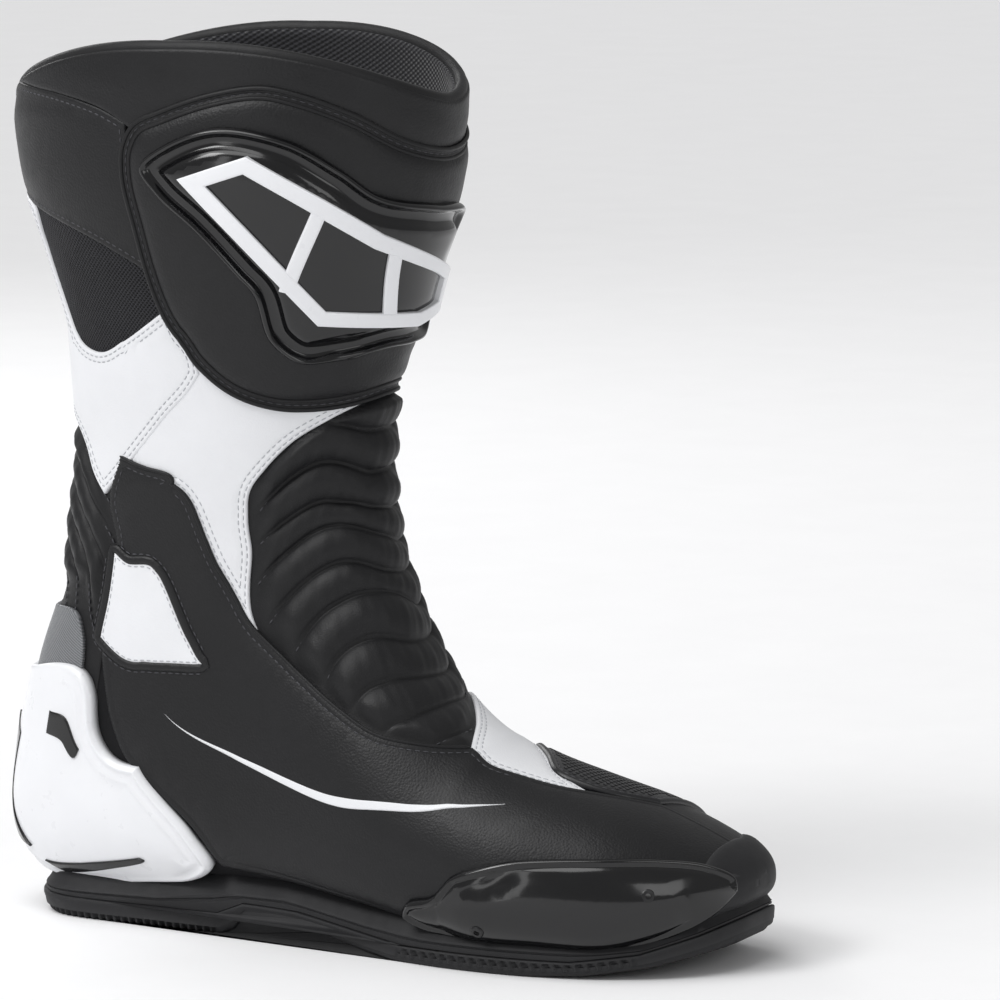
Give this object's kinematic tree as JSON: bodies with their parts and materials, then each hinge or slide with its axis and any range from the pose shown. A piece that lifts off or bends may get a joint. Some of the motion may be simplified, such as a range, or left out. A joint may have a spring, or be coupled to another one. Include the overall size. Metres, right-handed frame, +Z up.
{
  "type": "motorcycle boot",
  "caption": "Right road-riding motorcycle boot with padded shin panel, shin plate, ribbed ankle bellows, heel counter, toe slider and inner-side zip.",
  "frame": {"origin": "centre of the heel's ground face, where the outsole meets the ground", "axes": "+Z up the leg, +Y towards the toe, +X towards the boot's outer side"},
  "size_m": [0.1261, 0.3073, 0.3383],
  "materials": {
    "outsole_rubber": "moulded, satin",
    "midsole": "matte",
    "steel": "satin",
    "backing": "matte",
    "lining": "matte knit",
    "stiffener": "matte",
    "foam": "matte",
    "black_microfibre": "fine grain, satin",
    "white_microfibre": "fine grain, satin",
    "pad_rubber": "textured, matte",
    "white_plastic": "satin",
    "gloss_black": "gloss",
    "reflector": "woven reflective",
    "mesh": "open mesh",
    "tape": "woven",
    "zip_plastic": "satin",
    "metal": "satin"
  },
  "bodies": {
    "foot": {"outsole": "outsole_rubber", "midsole": "midsole", "shank": "steel", "footbed": "midsole", "foot_shell": "backing", "foot_lining": "lining", "toe_puff": "stiffener", "heel_stiffener": "stiffener", "toe_cap": "black_microfibre", "shift_pad": "pad_rubber", "vamp_saddle": "white_microfibre", "lateral_quarter": "black_microfibre", "medial_quarter": "black_microfibre", "side_stripe": "white_microfibre", "ankle_inset": "white_microfibre", "heel_counter": "white_plastic", "heel_inlay": "gloss_black", "heel_vents": "gloss_black", "heel_reflector": "reflector", "toe_slider": "gloss_black", "slider_screws": "metal", "toe_bumper": "pad_rubber", "ankle_gusset": "backing", "front_bellows": "black_microfibre", "rear_bellows": "black_microfibre"},
    "shaft": {"shaft_shell": "backing", "shaft_lining": "lining", "shin_foam": "foam", "collar_foam": "foam", "ankle_guards": "stiffener", "collar": "black_microfibre", "calf_panel": "black_microfibre", "mesh_panel": "mesh", "rear_panel": "white_microfibre", "side_wedge": "white_microfibre", "shin_panel": "black_microfibre", "shin_plate": "gloss_black", "shin_emblem": "white_plastic", "medial_strip": "black_microfibre", "medial_panel": "black_microfibre", "zip_tape_front": "tape", "zip_tape_rear": "tape", "zip_teeth": "zip_plastic", "zip_stops": "metal", "zip_gusset": "lining", "loop_patch": "tape"},
    "closure_flap": {"closure_flap": "black_microfibre", "hook_patch": "tape"},
    "zip_slider": {"zip_slider": "metal"},
    "zip_pull": {"zip_pull": "metal"}
  },
  "joints": [
    {"name": "ankle_flex", "type": "hinge", "parent": "foot", "child": "shaft", "pos_m": [0, 0.012, 0.112], "axis": [1, 0, 0], "range_deg": [-18, 12], "stiffness_Nm_per_rad": 10, "deforming": ["ankle_gusset", "front_bellows", "rear_bellows", "lateral_quarter", "medial_quarter", "medial_strip", "side_wedge", "zip_gusset"]},
    {"name": "flap_open", "type": "hinge", "parent": "shaft", "child": "closure_flap", "pos_m": [-0.0393, -0.04002, 0.3], "axis": [-0.0224, 0.0206, 0.9995], "range_deg": [0, 90]},
    {"name": "zip_slide", "type": "slide", "parent": "shaft", "child": "zip_slider", "axis": [0.1342, 0.0712, -0.9884], "range_m": [0, 0.0903]},
    {"name": "zip_pull_swing", "type": "hinge", "parent": "zip_slider", "child": "zip_pull", "pos_m": [-0.05398, -0.01527, 0.28186], "axis": [-0.3334, 0.9425, 0.0226], "range_deg": [0, 120]}
  ]
}
